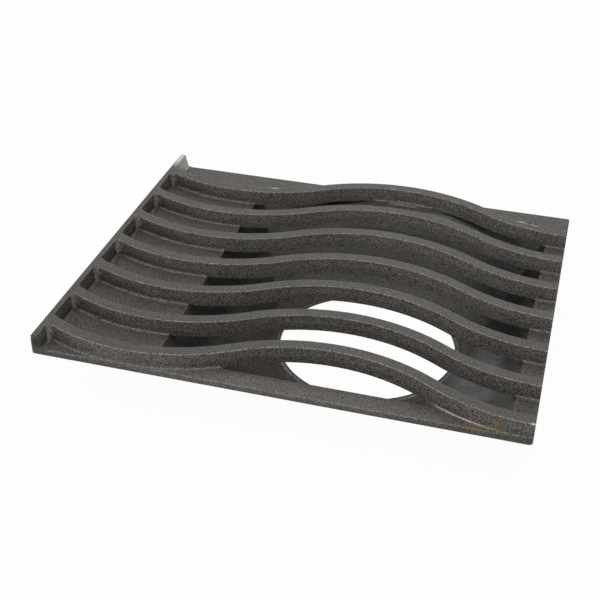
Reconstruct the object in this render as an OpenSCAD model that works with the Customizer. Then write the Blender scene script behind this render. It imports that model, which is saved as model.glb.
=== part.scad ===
// Range top grate, one iron casting: a flat plate with an end wall, wavy bars that bridge a large
// opening, and a deep bowl under the opening with a burner hole inside a raised collar.
// Millimetres. X runs along the bars with the end wall at -X, and Z is up.
// The origin is the middle of the plate's outline, on the level that the bowl rests on.

/* [Plate] */
// Length of the plate along the bars
plate_l = 367; // [340:1:420]
// Width of the plate across the bars
plate_w = 305; // [290:1:340]
// Thickness of the plate
plate_t = 5; // [4:0.5:7]
// Radius of the plate's corners in plan
corner_r = 3; // [2:1:8]
// Radius of the top edge along the plate's front and rear
edge_r = 1.2; // [0.8:0.2:3]
// Radius of the bottom edge along the plate's left end
end_edge_r = 2; // [0.8:0.2:3]

/* [Opening] */
// Width of the rim left at the front, rear and right of the opening
rim_w = 16.5; // [12:0.5:24]
// Length of the solid plate between its left end and the opening
apron_l = 92.5; // [70:0.5:110]
// Radius of the opening's corners in plan
opening_r = 12; // [4:1:16]
// Radius of the opening's top edge, where the plate rolls into it
lip_r = 2; // [0.8:0.2:2.4]

/* [End wall] */
// Height of the end wall and the bars above the plate's top
bar_h = 11.6; // [8:0.2:18]
// Thickness of the end wall at its top
wall_t = 4.6; // [3:0.2:8]
// Lean of the end wall's outer face, from the plate's top to the wall's top
wall_lean = 1.8; // [0.2:0.2:3]
// Draft of the end wall's inner face, from top to foot
wall_draft = 2.2; // [1:0.2:4]
// Radius of the arrises along the end wall's top
wall_arris_r = 0.7; // [0.5:0.1:1.5]
// Radius of the fillet at the foot of the end wall's inner face
wall_foot_r = 2.5; // [1.5:0.1:4]

/* [Bars] */
// Number of bars
bar_count = 7; // [5:1:8]
// Width of a bar at its top
bar_w = 9.4; // [7:0.2:13]
// Draft of each side of a bar, from top to foot
bar_draft = 2; // [0.6:0.2:2.6]
// Radius of the arrises along a bar's top
arris_r = 0.9; // [0.4:0.1:1.6]
// Distance from crest to crest of the wave, along the bars
wave_length = 293; // [250:1:330]
// Distance across the bars between the wave's crest and its valley
wave_h = 40.2; // [24:0.2:48]
// Distance from the outermost bar's top to the plate's edge
bar_margin = 2.2; // [2:0.2:8]
// Radius of the fillets where the bars stand on the plate
foot_r = 1.8; // [1:0.2:3]
// Radius of the fillets where the bars meet the end wall
root_r = 3.5; // [2:0.5:5]

/* [Bowl] */
// Depth from the plate's underside to the level that the bowl rests on
bowl_depth = 60.5; // [50:0.5:80]
// Wall of the bowl
bowl_t = 3.5; // [3:0.5:6]
// Radius of the arc that each side of the bowl follows from the opening down to the floor
side_r = 300; // [180:10:400]
// Diameter of the burner hole
hole_d = 145; // [120:1:150]
// Width of the collar's rim around the hole
collar_rim = 1.6; // [1:0.2:4]
// Height of the collar's rim above the bowl's floor
collar_h = 2.8; // [2:0.2:6]
// Run of the collar's flared foot, outward from its rim
collar_flare = 4.9; // [3:0.1:8]
// Height of the collar's upright edge, above the flare of its underside
collar_edge = 1.3; // [0.6:0.1:3]
// Run of the flare under the collar, outward from the hole
under_flare = 5.8; // [3:0.2:7]
// Width of the flat floor between the collar and the bowl's sides
floor_land = 1; // [0.5:0.5:4]

/* [Hidden] */
$fn = 96;
iron = "#4b4743";
slack = 1;
overlap = 0.4;
root_drop = 0.25;

plate_bottom = bowl_depth;
plate_top = plate_bottom + plate_t;
bar_top = plate_top + bar_h;
bar_foot = plate_top - overlap;
left_x = -plate_l / 2;
right_x = plate_l / 2;
front_y = -plate_w / 2;

opening_l = plate_l - apron_l - rim_w;
opening_w = plate_w - 2 * rim_w;
bowl_x = right_x - rim_w - opening_l / 2;

hole_r = hole_d / 2;
collar_r = hole_r + collar_rim + collar_flare;
floor_r = collar_r + floor_land;
corner_reach = norm([opening_l / 2 - opening_r, opening_w / 2 - opening_r]) + opening_r + slack;

half_wave = wave_length / 2;
wave_r = (pow(half_wave, 2) + pow(wave_h, 2)) / (4 * wave_h);
wave_angle = asin(half_wave / 2 / wave_r);
arc_count = ceil(plate_l / half_wave) + 1;
bar_pitch = (plate_w - bar_w - wave_h - 2 * bar_margin) / (bar_count - 1);
foot_reach = bar_w / 2 + bar_draft * (1 - foot_r / bar_h) + foot_r;

// Points along an arc, for the small roundings of a section.
function arc(center, r, from, to) =
    [for (i = [0 : 3]) let (a = from + (to - from) * i / 3) center + r * [cos(a), sin(a)]];

// A symmetric outline from the points of its right half, foot to top.
function both_sides(half) =
    concat(half, [for (i = [len(half) - 1 : -1 : 0]) [-half[i][0], half[i][1]]]);

module rounded_rect(l, w, r) {
    square([l - 2 * r, w], center = true);
    square([l, w - 2 * r], center = true);
    for (x = [-1, 1], y = [-1, 1])
        translate([x * (l / 2 - r), y * (w / 2 - r)])
            circle(r);
}

// The plate before its opening is cut, with the top edges along the front and rear rounded, and the
// bottom edge along the left end.
module plate_blank() {
    difference() {
        translate([0, 0, plate_bottom])
            linear_extrude(plate_t)
                rounded_rect(plate_l, plate_w, corner_r);
        translate([left_x, plate_w / 2 + slack, plate_bottom])
            rotate([90, 0, 0])
                linear_extrude(plate_w + 2 * slack)
                    mirror([0, 1])
                        edge_section(end_edge_r);
        for (side = [0, 1])
            mirror([0, side, 0])
                translate([left_x - slack, front_y, plate_top])
                    rotate([90, 0, 90])
                        linear_extrude(plate_l + 2 * slack)
                            edge_section(edge_r);
    }
}

// What the rounding of an edge takes away, in section. The edge's arris is at the origin.
module edge_section(r) {
    polygon(concat(
        [[-slack, slack], [-slack, -r]],
        arc([r, -r], r, 180, 90),
        [[r, slack]]
    ));
}

// A prism with the opening's outline, from one height to another, larger by grow on all sides.
module opening_prism(from, to, grow = 0) {
    translate([bowl_x, 0, from])
        linear_extrude(to - from)
            rounded_rect(opening_l + 2 * grow, opening_w + 2 * grow, opening_r + grow);
}

// What the rolled top edge of the opening takes away. Where a bar and its fillets stand, nothing.
module opening_lip() {
    along = opening_l / 2 - opening_r;
    across = opening_w / 2 - opening_r;
    difference() {
        translate([bowl_x, 0, plate_top])
            for (x = [0, 1], y = [0, 1])
                mirror([x, 0, 0])
                    mirror([0, y, 0]) {
                        translate([opening_l / 2, across, 0])
                            rotate([90, 0, 0])
                                linear_extrude(across)
                                    edge_section(lip_r);
                        translate([0, opening_w / 2, 0])
                            rotate([90, 0, 90])
                                linear_extrude(along)
                                    edge_section(lip_r);
                        translate([along, across, 0])
                            rotate_extrude(angle = 90)
                                translate([opening_r, 0])
                                    edge_section(lip_r);
                    }
        bar_row()
            footprint_section();
    }
}

// The end wall: leaning outer face, drafted inner face, with a fillet at the foot.
module end_wall() {
    h = plate_t + bar_h;
    top_x = wall_lean + wall_t;
    foot_x = top_x + wall_draft;
    intersection() {
        translate([left_x, plate_w / 2, plate_bottom])
            rotate([90, 0, 0])
                linear_extrude(plate_w)
                    polygon(concat(
                        arc([end_edge_r, end_edge_r], end_edge_r, 270, 180),
                        [[0, plate_t]],
                        arc([wall_lean + wall_arris_r, h - wall_arris_r], wall_arris_r, 180, 90),
                        arc([top_x - wall_arris_r, h - wall_arris_r], wall_arris_r, 90, 0),
                        arc([foot_x + wall_foot_r, plate_t + wall_foot_r], wall_foot_r, 180, 270),
                        [[foot_x + wall_foot_r, 0]]
                    ));
        translate([0, 0, plate_bottom])
            linear_extrude(h + slack)
                rounded_rect(plate_l, plate_w, corner_r);
    }
}

// Section of a bar: drafted sides and rounded arrises.
module bar_section() {
    h = bar_top - bar_foot;
    half = bar_w / 2;
    polygon(both_sides(concat(
        [[half + bar_draft, 0]],
        arc([half - arris_r, h - arris_r], arris_r, 0, 90)
    )));
}

// Section of the fillets on both sides of a bar's foot.
module foot_section() {
    polygon(both_sides(concat(
        [[foot_reach, 0]],
        arc([foot_reach, foot_r + overlap], foot_r, 270, 180)
    )));
}

// Section of the strip of plate that a bar and its fillets stand on.
module footprint_section() {
    half = foot_reach + overlap;
    translate([-half, -lip_r])
        square([2 * half, lip_r + overlap + slack]);
}

// One half wave of a bar: an arc that bulges to the rear (side = 1) or to the front (side = -1).
module wave_arc(side) {
    translate([0, side * (wave_h / 2 - wave_r), bar_foot])
        rotate([0, 0, side * 90 - wave_angle])
            rotate_extrude(angle = 2 * wave_angle, $fn = 360)
                translate([wave_r, 0])
                    children();
}

// A row of half waves with the given section. The first valley's middle is at the plate's right end.
module wave() {
    for (k = [0 : arc_count - 1])
        translate([right_x - k * half_wave, 0, 0])
            wave_arc(k % 2 == 0 ? -1 : 1)
                children();
}

// All bars of the given section, from inside the end wall to the plate's right end.
module bar_row() {
    intersection() {
        for (i = [0 : bar_count - 1])
            translate([0, (i - (bar_count - 1) / 2) * bar_pitch, 0])
                wave()
                    children();
        translate([left_x + wall_lean + wall_t / 2, front_y, plate_bottom])
            cube([plate_l - wall_lean - wall_t / 2, plate_w, plate_t + bar_h + slack]);
    }
}

module bars() {
    bar_row()
        bar_section();
}

// Foot fillets, only where the bars stand on the plate.
module bar_feet() {
    difference() {
        bar_row()
            foot_section();
        opening_prism(bar_foot - slack, bar_top);
    }
}

// Fillets between the end wall and both sides of each bar. Each leans with the two drafted faces
// that it joins, so it keeps its radius from the top to the foot.
module bar_roots() {
    face_x = wall_lean + wall_t;
    k = round((plate_l - face_x) / half_wave);
    bulge = k % 2 == 0 ? -1 : 1;
    slope = -bulge * asin((plate_l - face_x - k * half_wave) / wave_r);
    mid_y = bulge * (wave_h / 2 - wave_r * (1 - cos(slope)));
    for (i = [0 : bar_count - 1], side = [-1, 1]) {
        corner = [face_x, mid_y + side * bar_w / 2 / cos(slope)];
        center = root_r * [1, side / cos(slope) - tan(slope)];
        inward = -side * [sin(slope), cos(slope)];
        spread = [wall_draft, side * bar_draft / cos(slope) - wall_draft * tan(slope)] / bar_h;
        tilt_y = atan(spread[0]);
        tilt_x = atan(spread[1] * cos(tilt_y));
        intersection() {
            translate([left_x + corner[0], (i - (bar_count - 1) / 2) * bar_pitch + corner[1], bar_top])
                rotate([tilt_x, -tilt_y, 0])
                    translate([0, 0, -2 * bar_h])
                        linear_extrude(2 * bar_h + slack)
                            difference() {
                                polygon([
                                    center, center + (root_r + slack) * inward,
                                    slack * inward - [slack, 0], [-slack, center[1]]
                                ]);
                                translate(center)
                                    circle(root_r);
                            }
            translate([left_x, front_y, bar_foot])
                cube([plate_l, plate_w, bar_h + overlap - root_drop]);
        }
    }
}

// Middle of the arc that a side of the bowl follows, from the point (u, plate_bottom) at the
// opening's edge to the point (floor_r, bowl_t) at the floor, in the upright plane across it.
function side_center(u) =
    let (run = [u - floor_r, plate_bottom - bowl_t],
         middle = [u + floor_r, plate_bottom + bowl_t] / 2,
         back = sqrt(pow(side_r, 2) - pow(norm(run) / 2, 2)))
    middle + back * [-run[1], run[0]] / norm(run);

// Section of the bowl's inside between two opposite sides, larger by grow all round.
module trough_section(u, grow) {
    intersection() {
        translate([-u - 3 * grow, bowl_t - grow])
            square([2 * (u + 3 * grow), plate_bottom - bowl_t + grow + overlap]);
        side_disc(u, grow);
        mirror([1, 0])
            side_disc(u, grow);
    }
}

// The disc whose edge is one side's curve. It covers the inside and all that lies across from it.
module side_disc(u, grow) {
    translate(side_center(u))
        circle(side_r + grow, $fn = 720);
}

// The cone that rounds the bowl's corners, larger by grow.
module corner_cone(grow) {
    run = corner_reach - floor_r;
    fall = plate_bottom - bowl_t;
    out = grow * norm([run, fall]) / fall;
    low_r = floor_r + out - grow * run / fall;
    high_r = corner_reach + out + overlap * run / fall;
    rotate_extrude($fn = 360)
        polygon([
            [0, bowl_t - grow],
            [low_r, bowl_t - grow],
            [high_r, plate_bottom + overlap],
            [0, plate_bottom + overlap]
        ]);
}

// The bowl's inside (grow = 0) or its outside (grow = bowl_t).
module bowl_form(grow) {
    intersection() {
        opening_prism(-slack, plate_bottom + overlap, grow);
        translate([bowl_x, opening_w, 0])
            rotate([90, 0, 0])
                linear_extrude(2 * opening_w)
                    trough_section(opening_l / 2, grow);
        translate([bowl_x - opening_l, 0, 0])
            rotate([90, 0, 90])
                linear_extrude(2 * opening_l)
                    trough_section(opening_w / 2, grow);
        translate([bowl_x, 0, 0])
            corner_cone(grow);
    }
}

// The raised collar around the burner hole, with its flared foot.
module collar() {
    translate([bowl_x, 0, 0])
        rotate_extrude($fn = 360)
            polygon([
                [hole_r - slack, 0],
                [collar_r, 0],
                [collar_r, bowl_t],
                [hole_r + collar_rim, bowl_t + collar_h],
                [hole_r - slack, bowl_t + collar_h]
            ]);
}

// The hole through the collar, with the flare of the collar's underside.
module burner_hole() {
    edge_z = bowl_t + collar_h - collar_edge;
    run = under_flare * (edge_z + slack) / edge_z;
    translate([bowl_x, 0, 0])
        rotate_extrude($fn = 360)
            polygon([
                [0, -slack],
                [hole_r + run, -slack],
                [hole_r, edge_z],
                [hole_r, bowl_t + collar_h + slack],
                [0, bowl_t + collar_h + slack]
            ]);
}

module plate_and_bowl() {
    difference() {
        union() {
            difference() {
                union() {
                    plate_blank();
                    bowl_form(bowl_t);
                }
                opening_prism(plate_bottom, plate_top + slack);
                opening_lip();
                bowl_form(0);
            }
            collar();
        }
        burner_hole();
    }
}

module grate() {
    color(iron) {
        plate_and_bowl();
        end_wall();
        bars();
        bar_feet();
        bar_roots();
    }
}

grate();
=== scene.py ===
# %% [markdown]
# A cast iron grate from a range top, in one piece: a flat plate with an end wall, wavy bars that
# bridge a large opening, and a deep bowl under it with a collared hole for the burner.
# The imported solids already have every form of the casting. This script gives them the finish of
# sand-cast iron, and the light, floor and camera of the photograph.

# %% Load the casting
import math

import bpy
from mathutils import Matrix, Vector


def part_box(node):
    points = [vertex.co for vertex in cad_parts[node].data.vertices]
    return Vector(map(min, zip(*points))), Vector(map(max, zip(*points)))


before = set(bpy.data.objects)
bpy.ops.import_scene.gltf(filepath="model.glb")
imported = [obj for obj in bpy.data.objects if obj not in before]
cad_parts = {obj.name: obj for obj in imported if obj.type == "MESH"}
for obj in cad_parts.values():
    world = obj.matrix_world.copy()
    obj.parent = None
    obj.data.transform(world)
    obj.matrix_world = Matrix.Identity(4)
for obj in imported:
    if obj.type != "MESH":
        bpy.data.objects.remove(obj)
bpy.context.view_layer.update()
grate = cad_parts["grate"]
low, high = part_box("grate")
MM = 0.001
print("the casting measures", [round(side / MM, 1) for side in high - low], "mm")

# %% [markdown]
# Colours are picked as sRGB hex values, the way a paint program shows them. Blender's shaders
# work in linear light, so one function turns a hex value into linear numbers.


# %% Turn a hex colour to linear light
def linear(hex_color):
    shares = [int(hex_color[i : i + 2], 16) / 255 for i in (1, 3, 5)]
    return tuple(s / 12.92 if s <= 0.04045 else ((s + 0.055) / 1.055) ** 2.4 for s in shares) + (1.0,)


print("mid grey #808080 is", round(linear("#808080")[0], 3), "in linear light")

# %% [markdown]
# A material is a small graph of nodes. One function adds a node with its settings and its links, so
# that the graph below reads as a list of what each node does.


# %% Add a node with its settings and links
def add(tree, kind, settings=None, **inputs):
    """A new node. settings are its own attributes; inputs are values or other nodes' sockets, by name."""
    node = tree.nodes.new(kind)
    for name, value in (settings or {}).items():
        setattr(node, name, value)
    for name, value in inputs.items():
        socket = node.inputs[int(name[1:])] if name[0] == "_" else node.inputs[name.replace("_", " ")]
        if isinstance(value, bpy.types.NodeSocket):
            tree.links.new(value, socket)
        else:
            socket.default_value = value
    return node


# %% [markdown]
# Two of these nodes are used so often that they get a name of their own. The product of two masks is
# where both hold, and a blend lays one colour over another by a mask's share.


# %% Multiply two masks, and blend two colours by a mask
def product(tree, first, second):
    return add(tree, "ShaderNodeMath", {"operation": "MULTIPLY"}, _0=first.outputs[0], _1=second.outputs[0])


def blend(tree, share, first, second):
    mixer = add(tree, "ShaderNodeMix", {"data_type": "RGBA", "clamp_factor": True},
                Factor=share.outputs[0], _6=first, _7=second)
    return mixer.outputs[2]


# %% [markdown]
# Sand-cast grey iron is poured into a mould of packed sand. The skin takes the print of the sand
# grains, so it is evenly rough and scatters light, with hardly any mirror shine. Its colour is a
# dark warm grey, a little mottled, because the skin oxidises unevenly as it cools. The oxide is no
# metal to the eye, so the shader's Metallic stays at 0.
# The grain could be real displaced geometry, but it is well under a millimetre high, so it is a bump.
# Sand grains are about 0.3 mm, too fine to show at this distance, so the print is drawn at about 1 mm.

# %% Sizes and colours of the iron's skin
GRAIN = 0.95 * MM
LATTICE_TURN = Vector((0.6, 0.45, 0.3))
CLOD = 4 * MM
MOTTLE = 22 * MM
IRON_DARK = "#1f1d1b"
IRON_LIGHT = "#66625c"
# lighter grey of the painted highlights on the edges, and of the painted light on the front rim
HIGHLIGHT_GREY = "#a6a099"
# near black of the painted shade
SHADE_BLACK = "#070707"
BOWL_GREY = "#4c4c4c"
print("the print of the sand is drawn", round(GRAIN / MM, 1), "mm wide")

# %% [markdown]
# The flat tops carry the pans. They are ground level and rubbed by every pan, so their grain is
# shallower than on the faces beside them. They all lie at one height, so height alone finds them.


# %% Where the pans rub
def ground_tops(tree, place):
    height = add(tree, "ShaderNodeSeparateXYZ", Vector=place).outputs["Z"]
    return add(tree, "ShaderNodeMapRange", Value=height, _1=high.z - 0.5 * MM, _2=high.z - 0.1 * MM)


# %% [markdown]
# The rounded arrises and the small fillets catch the light, so a painted highlight makes them lighter
# than the flat skin. Above the plate's underside nothing slants but these rounded edges, so the slant
# of the surface itself finds them. Lower down, in the bowl, only the collar's edge gets this painted
# highlight, and its distance from the hole's middle finds that.

# %% Where the rounded edges get a painted highlight
PLATE_TOP = 65.5 * MM
HOLE_MIDDLE = Vector((38 * MM, 0, 0))
COLLAR_EDGE_FROM = 73.9 * MM
COLLAR_EDGE_TO = 75.6 * MM


def edge_highlight_mask(tree, place):
    true = add(tree, "ShaderNodeNewGeometry").outputs["True Normal"]
    upward = add(tree, "ShaderNodeSeparateXYZ", Vector=true).outputs["Z"]
    not_upright = add(tree, "ShaderNodeMapRange", Value=upward, _1=0.12, _2=0.35)
    not_flat = add(tree, "ShaderNodeMapRange", Value=upward, _1=0.985, _2=0.93)
    height = add(tree, "ShaderNodeSeparateXYZ", Vector=place).outputs["Z"]
    on_plate = add(tree, "ShaderNodeMapRange", Value=height, _1=PLATE_TOP - 2.4 * MM, _2=PLATE_TOP - 1.6 * MM, _4=0.4)
    on_bars = add(tree, "ShaderNodeMapRange", Value=height, _1=PLATE_TOP + 3 * MM, _2=PLATE_TOP + 6 * MM, _4=0.6)
    above = add(tree, "ShaderNodeMath", {"operation": "ADD"}, _0=on_plate.outputs[0], _1=on_bars.outputs[0])
    rounded = product(tree, product(tree, not_upright, not_flat), above)

    flat_place = add(tree, "ShaderNodeVectorMath", {"operation": "MULTIPLY"}, _0=place, _1=Vector((1, 1, 0)))
    from_hole = add(tree, "ShaderNodeVectorMath", {"operation": "DISTANCE"}, _0=flat_place.outputs[0], _1=HOLE_MIDDLE)
    past_rim = add(tree, "ShaderNodeMapRange", Value=from_hole.outputs["Value"],
                   _1=COLLAR_EDGE_FROM, _2=COLLAR_EDGE_FROM + 0.3 * MM)
    before_flare = add(tree, "ShaderNodeMapRange", Value=from_hole.outputs["Value"],
                       _1=COLLAR_EDGE_TO + 0.3 * MM, _2=COLLAR_EDGE_TO)
    low_down = add(tree, "ShaderNodeMapRange", Value=height, _1=12 * MM, _2=10 * MM)
    collar = product(tree, product(tree, past_rim, before_flare), low_down)
    return add(tree, "ShaderNodeMath", {"operation": "MAXIMUM"}, _0=rounded.outputs[0], _1=collar.outputs[0])


# %% [markdown]
# Each bar runs into the end wall with an upright fillet, which gets a painted highlight too. These
# fillets face half to the right and half to the front, and they all lie close to the wall, so the
# product of the two directions and the distance from the wall find them.

# %% Where the bars run into the end wall
ROOTS_FROM = low.x + 13 * MM
ROOTS_TO = low.x + 9 * MM


def root_fillet_highlight(tree, place):
    facing = add(tree, "ShaderNodeSeparateXYZ", Vector=add(tree, "ShaderNodeNewGeometry").outputs["Normal"])
    corner = add(tree, "ShaderNodeMath", {"operation": "MULTIPLY"}, _0=facing.outputs[0], _1=facing.outputs[1])
    band = add(tree, "ShaderNodeMapRange", Value=corner.outputs[0], _1=-0.15, _2=-0.4)
    across = add(tree, "ShaderNodeSeparateXYZ", Vector=place).outputs["X"]
    near = add(tree, "ShaderNodeMapRange", Value=across, _1=ROOTS_FROM, _2=ROOTS_TO)
    return add(tree, "ShaderNodeMath", {"operation": "MULTIPLY"}, _0=band.outputs[0], _1=near.outputs[0])


# %% [markdown]
# The deep corners get painted shade, near black. The Ambient Occlusion node says how closed in a
# point is, and that becomes the share of painted shade.

# %% Where the painted shade goes
SHADE_REACH = 40 * MM


def corner_shade_mask(tree):
    open_share = add(tree, "ShaderNodeAmbientOcclusion", {"samples": 8}, Distance=SHADE_REACH).outputs["AO"]
    return add(tree, "ShaderNodeMapRange", Value=open_share, _1=0.55, _2=0.22, _3=0.0, _4=0.97)


# %% [markdown]
# A used casting has its own small marks: a thin film of rust by the front bar's right end, where it
# was damp, and one dark blowhole in the rear bar's top. Light and shade are painted the same way:
# painted shade and shadow on the bowl's sides, by the end wall and on its inner face; painted light
# on the front of the bowl's right side, on the bowl's rear slope and on the front rim; a painted
# reflection on the end of the end wall; and painted highlights on a few arrises, on the front bar's
# foot and on the front corner. There is also one bright spot on the front rim's edge. Each is an
# ellipsoid of one colour, with its middle and its three half lengths in millimetres.

# %% Marks of use, and painted light and shade
RUST = "#7d5f38"
# grey of the painted light on the lit parts of the bowl
PAINTED_LIGHT_GREY = "#8d8e90"
# white of the painted highlights and the painted reflection, and of one bright spot
BRIGHT_WHITE = "#dedad3"
BLOWHOLE = "#050505"
# Painted shade and shadow, near black: on the bowl's sides, between the bars and the end wall, and on the wall's
# inner face.
SHADE_MARKS = [
    ("painted shade on the bowl's left side", (-86, 0, 45), (30, 200, 20), SHADE_BLACK, 1.0),
    ("painted shadow on the bowl's right side", (145, 75, 36), (46, 95, 36), SHADE_BLACK, 1.0),
    ("painted shade low in the bowl, at the left", (-62, 35, 20), (34, 70, 18), SHADE_BLACK, 0.55),
    ("painted shadow at the bowl's right end", (150, -15, 42), (24, 46, 22), SHADE_BLACK, 1.0),
    ("painted shade between the bars and the wall", (-160, 0, 71), (36, 330, 6), SHADE_BLACK, 0.55),
    ("painted shade on the wall's inner face", (-178, -10, 71), (5, 270, 6.4), SHADE_BLACK, 1.2),
]
MARKS = [
    ("rust on the rim", (145, -151, 66), (10, 7, 4), RUST, 0.36),
    ("rust on the bar", (160, -149, 68), (6, 6, 6), RUST, 0.36),
    # painted light where light falls into the bowl
    ("painted light by the collar", (136, -42, 18), (34, 64, 34), PAINTED_LIGHT_GREY, 0.85),
    ("painted light on the bowl's rear slope", (50, 130, 55), (70, 16, 16), PAINTED_LIGHT_GREY, 0.4),
    # painted light on the front rim
    ("painted light on the front rim", (-10, -150, 65), (170, 12, 5), HIGHLIGHT_GREY, 0.16),
    # a painted reflection on the end of the wall, then painted highlights on arrises, the front bar's foot and the
    # front corner
    ("painted reflection on the end of the wall", (-178, 152, 73), (6, 27, 20), BRIGHT_WHITE, 1.5),
    ("painted highlight on the rear arris, left", (-78, 114.3, 76.9), (7, 3, 1.2), BRIGHT_WHITE, 1.0),
    ("painted highlight on the rear arris, middle of the right", (148, 114.9, 77), (8, 1.9, 1.2), BRIGHT_WHITE, 1.0),
    ("painted highlight on the rear arris, right", (159, 112.5, 77), (8, 1.9, 1.2), BRIGHT_WHITE, 1.0),
    ("painted highlight on the front bar's foot", (135.5, -138, 66.15), (36, 20, 0.55), BRIGHT_WHITE, 0.5),
    ("painted highlight on the front corner", (182, -150, 76.7), (2.4, 1.6, 0.8), BRIGHT_WHITE, 1.0),
    ("bright spot on the front rim", (0, -134, 65), (2, 2, 2), BRIGHT_WHITE, 0.9),
    ("blowhole in the rear bar", (-148, 114, 77), (2.2, 2.8, 2.0), BLOWHOLE, 1.0),
]


def marked(tree, marks, place, ragged, color):
    for name, middle, halves, mark_color, strength in marks:
        offset = add(tree, "ShaderNodeVectorMath", {"operation": "SUBTRACT"}, _0=place, _1=Vector(middle) * MM)
        scaled = add(tree, "ShaderNodeVectorMath", {"operation": "DIVIDE"}, _0=offset.outputs[0], _1=Vector(halves) * MM)
        away = add(tree, "ShaderNodeVectorMath", {"operation": "LENGTH"}, _0=scaled.outputs[0])
        near = add(tree, "ShaderNodeMapRange", Value=away.outputs["Value"], _1=1.0, _2=0.5, _3=0.0, _4=strength)
        color = blend(tree, product(tree, near, ragged), color, linear(mark_color))
    return color


# %% [markdown]
# The colour is built in steps. Grain and mottle mix a darker and a lighter grey. Painted shade darkens
# the deep corners, and a painted highlight brightens the edges and the root fillets, broken up by the grain.
# The pits between the grains hold dirt and the tips are cleaner, so the grain also shows as colour.


# %% Sand-cast iron
def sand_cast_iron():
    material = bpy.data.materials.new("cast iron, sand-cast skin")
    material.use_nodes = True
    tree = material.node_tree
    tree.nodes.clear()
    place = add(tree, "ShaderNodeTexCoord").outputs["Object"]
    turned = add(tree, "ShaderNodeVectorRotate", {"rotation_type": "EULER_XYZ"}, Vector=place, Rotation=LATTICE_TURN)
    grain = add(tree, "ShaderNodeTexNoise", Vector=turned.outputs[0], Scale=1 / GRAIN, Detail=1.0, Roughness=0.5)
    clod = add(tree, "ShaderNodeTexNoise", Vector=place, Scale=1 / CLOD, Detail=2.0)
    mottle = add(tree, "ShaderNodeTexNoise", Vector=place, Scale=1 / MOTTLE, Detail=4.0)
    tops = ground_tops(tree, place)

    depth = add(tree, "ShaderNodeMapRange", Value=tops.outputs[0], _3=1.0, _4=0.7)
    centred = add(tree, "ShaderNodeMath", {"operation": "SUBTRACT"}, _0=grain.outputs[0], _1=0.5)
    shallow = add(tree, "ShaderNodeMath", {"operation": "MULTIPLY"}, _0=centred.outputs[0], _1=depth.outputs[0])
    patches = add(tree, "ShaderNodeMapRange", Value=mottle.outputs[0], _1=0.3, _2=0.7, _3=0.42, _4=0.58)
    shade = add(tree, "ShaderNodeMath", {"operation": "MULTIPLY_ADD"},
                _0=shallow.outputs[0], _1=3.0, _2=patches.outputs[0])
    color = blend(tree, shade, linear(IRON_DARK), linear(IRON_LIGHT))
    height = add(tree, "ShaderNodeSeparateXYZ", Vector=place).outputs["Z"]
    inside = add(tree, "ShaderNodeMapRange", Value=height, _1=60 * MM, _2=54 * MM, _3=0.0, _4=0.35)
    color = blend(tree, inside, color, linear(BOWL_GREY))
    # painted shade in the deep corners, from how closed in each point is
    corner_shade = corner_shade_mask(tree)
    color = blend(tree, corner_shade, color, linear(SHADE_BLACK))
    patchy = add(tree, "ShaderNodeMapRange", Value=clod.outputs[0], _1=0.3, _2=0.6, _3=0.6, _4=1.1)
    speckled = add(tree, "ShaderNodeMapRange", Value=grain.outputs[0], _1=0.35, _2=0.65, _3=0.7, _4=1.2)
    ragged = product(tree, patchy, speckled)
    # painted shade and shadow laid on as near-black marks
    color = marked(tree, SHADE_MARKS, place, ragged, color)

    # painted highlight on the rounded edges, the collar's edge and the root fillets, broken up by the grain
    bright = add(tree, "ShaderNodeMath", {"operation": "MAXIMUM"},
                 _0=edge_highlight_mask(tree, place).outputs[0], _1=root_fillet_highlight(tree, place).outputs[0])
    broken = add(tree, "ShaderNodeMapRange", Value=grain.outputs[0], _1=0.4, _2=0.62, _3=0.15, _4=0.9)
    painted_highlight = add(tree, "ShaderNodeMath", {"operation": "MULTIPLY"}, _0=bright.outputs[0], _1=broken.outputs[0])
    color = blend(tree, painted_highlight, color, linear(HIGHLIGHT_GREY))
    # rust, the blowhole, a bright spot, and painted light, highlights and reflection
    color = marked(tree, MARKS, place, ragged, color)

    fine = add(tree, "ShaderNodeBump", Height=shallow.outputs[0], Strength=1.0, Distance=0.6 * MM)
    coarse = add(tree, "ShaderNodeBump", Height=clod.outputs[0], Strength=0.6, Distance=0.4 * MM,
                 Normal=fine.outputs[0])
    dull = add(tree, "ShaderNodeMapRange", Value=grain.outputs[0], _1=0.35, _2=0.65, _3=0.45, _4=0.28)
    in_corner_shade = add(tree, "ShaderNodeMapRange", Value=corner_shade.outputs[0], _1=0.2, _2=0.9)
    rough = add(tree, "ShaderNodeMix", {"data_type": "FLOAT"}, Factor=in_corner_shade.outputs[0], A=dull.outputs[0], B=1.0)
    iron = add(tree, "ShaderNodeBsdfPrincipled", Base_Color=color, Metallic=0.0,
               Roughness=rough.outputs[0], Specular_IOR_Level=0.25, Normal=coarse.outputs[0])
    add(tree, "ShaderNodeOutputMaterial", Surface=iron.outputs[0])
    return material


grate.data.materials.clear()
grate.data.materials.append(sand_cast_iron())
print("the casting's finish is", grate.data.materials[0].name)

# %% [markdown]
# The photograph was taken from above the front right, with a normal lens. Its camera was found from
# the plate's corners and the bars' edges, so it is written as a place and three angles.

# %% Camera
CAMERA_AT = Vector((0.18317, -0.7225, 0.5478))
CAMERA_TURN = 15.73
CAMERA_TILT = 34.11
CAMERA_ROLL = 0.33
LENS = 65.8

camera = bpy.data.objects.new("camera", bpy.data.cameras.new("camera"))
camera.data.lens = LENS
camera.data.sensor_width = 36
camera.location = CAMERA_AT
turn = Matrix.Rotation(math.radians(CAMERA_TURN), 4, "Z")
tilt = Matrix.Rotation(math.radians(90 - CAMERA_TILT), 4, "X")
roll = Matrix.Rotation(math.radians(CAMERA_ROLL), 4, "Z")
camera.rotation_euler = (turn @ tilt @ roll).to_euler()
bpy.context.scene.collection.objects.link(camera)
bpy.context.scene.camera = camera
print("the camera looks down by", CAMERA_TILT, "degrees")

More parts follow.
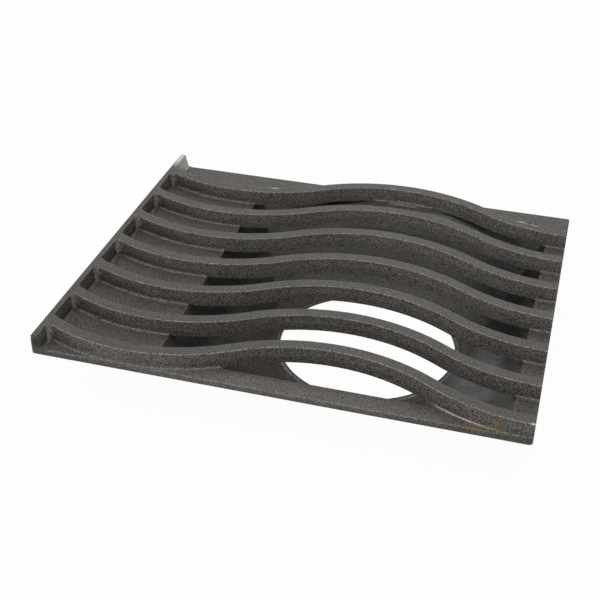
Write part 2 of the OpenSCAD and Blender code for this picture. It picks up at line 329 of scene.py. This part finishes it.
# %% [markdown]
# The background is white and seamless. A large white floor would only be as bright as the lamps make
# it, so for camera and glossy rays it also glows a little. The object's shadow stays on it.

# %% Floor
FLOOR_SIZE = 8.0
FLOOR_GLOW = 0.97
PAPER = "#e6e6e6"


def seen_ray(tree):
    """1 for the rays that show the background: to the camera, and in gloss or glass."""
    ray = add(tree, "ShaderNodeLightPath").outputs
    shine = add(tree, "ShaderNodeMath", {"operation": "MAXIMUM"}, _0=ray["Is Glossy Ray"], _1=ray["Is Transmission Ray"])
    return add(tree, "ShaderNodeMath", {"operation": "MAXIMUM"}, _0=ray["Is Camera Ray"], _1=shine.outputs[0]).outputs[0]


def white_floor():
    material = bpy.data.materials.new("white paper floor")
    material.use_nodes = True
    tree = material.node_tree
    tree.nodes.clear()
    share = add(tree, "ShaderNodeMath", {"operation": "MULTIPLY"}, _0=seen_ray(tree), _1=FLOOR_GLOW)
    paper = add(tree, "ShaderNodeBsdfDiffuse", Color=linear(PAPER))
    glow = add(tree, "ShaderNodeEmission", Color=linear("#ffffff"), Strength=1.0)
    both = add(tree, "ShaderNodeMixShader", _0=share.outputs[0], _1=paper.outputs[0], _2=glow.outputs[0])
    add(tree, "ShaderNodeOutputMaterial", Surface=both.outputs[0])
    return material


bpy.ops.mesh.primitive_plane_add(size=FLOOR_SIZE, location=(0, 0, -0.05 * MM))
floor = bpy.context.object
floor.name = "floor"
floor.data.materials.append(white_floor())

# %% [markdown]
# The light in the photograph is soft and comes from all round: mostly from the front left, low and
# high, with one softbox overhead and one behind. It leaves the tops light, the bars' front faces
# half dark, and what lies deep between the bars nearly black. The world gives no light of its own,
# but it is white where it is seen directly or in a shine.

# %% World
AMBIENT = 0.0
world = bpy.data.worlds.new("studio")
bpy.context.scene.world = world
world.use_nodes = True
world.node_tree.nodes.clear()
strength = add(world.node_tree, "ShaderNodeMapRange", Value=seen_ray(world.node_tree), _3=AMBIENT, _4=1.0)
sky = add(world.node_tree, "ShaderNodeBackground", Color=linear("#ffffff"), Strength=strength.outputs[0])
add(world.node_tree, "ShaderNodeOutputWorld", Surface=sky.outputs[0])

# %% Softboxes
LAMP_AWAY = 3.0


def softbox(name, azimuth, height, size, power):
    """A square lamp that faces the casting. azimuth is from the right, anticlockwise; power is in watts."""
    lamp = bpy.data.lights.new(name, "AREA")
    lamp.shape = "SQUARE"
    lamp.size = size
    lamp.energy = power
    holder = bpy.data.objects.new(name, lamp)
    across, up = math.radians(azimuth), math.radians(height)
    holder.location = LAMP_AWAY * Vector((math.cos(up) * math.cos(across), math.cos(up) * math.sin(across), math.sin(up)))
    holder.rotation_euler = (-holder.location).to_track_quat("-Z", "Y").to_euler()
    bpy.context.scene.collection.objects.link(holder)
    print("lamp", name, "is at", [round(value, 2) for value in holder.location])


softbox("overhead", 0, 88, 1.3, 19)
softbox("high at the front", 270, 50, 1.3, 23)
softbox("high at the front left", 225, 50, 1.3, 17)
softbox("low at the front left", 225, 20, 1.3, 10)
softbox("high at the rear", 90, 50, 1.3, 14)
softbox("high at the front right", 315, 50, 1.3, 6)
softbox("high at the left", 180, 70, 1.3, 4)

# %% Leave the colours as written
bpy.context.scene.view_settings.view_transform = "Standard"
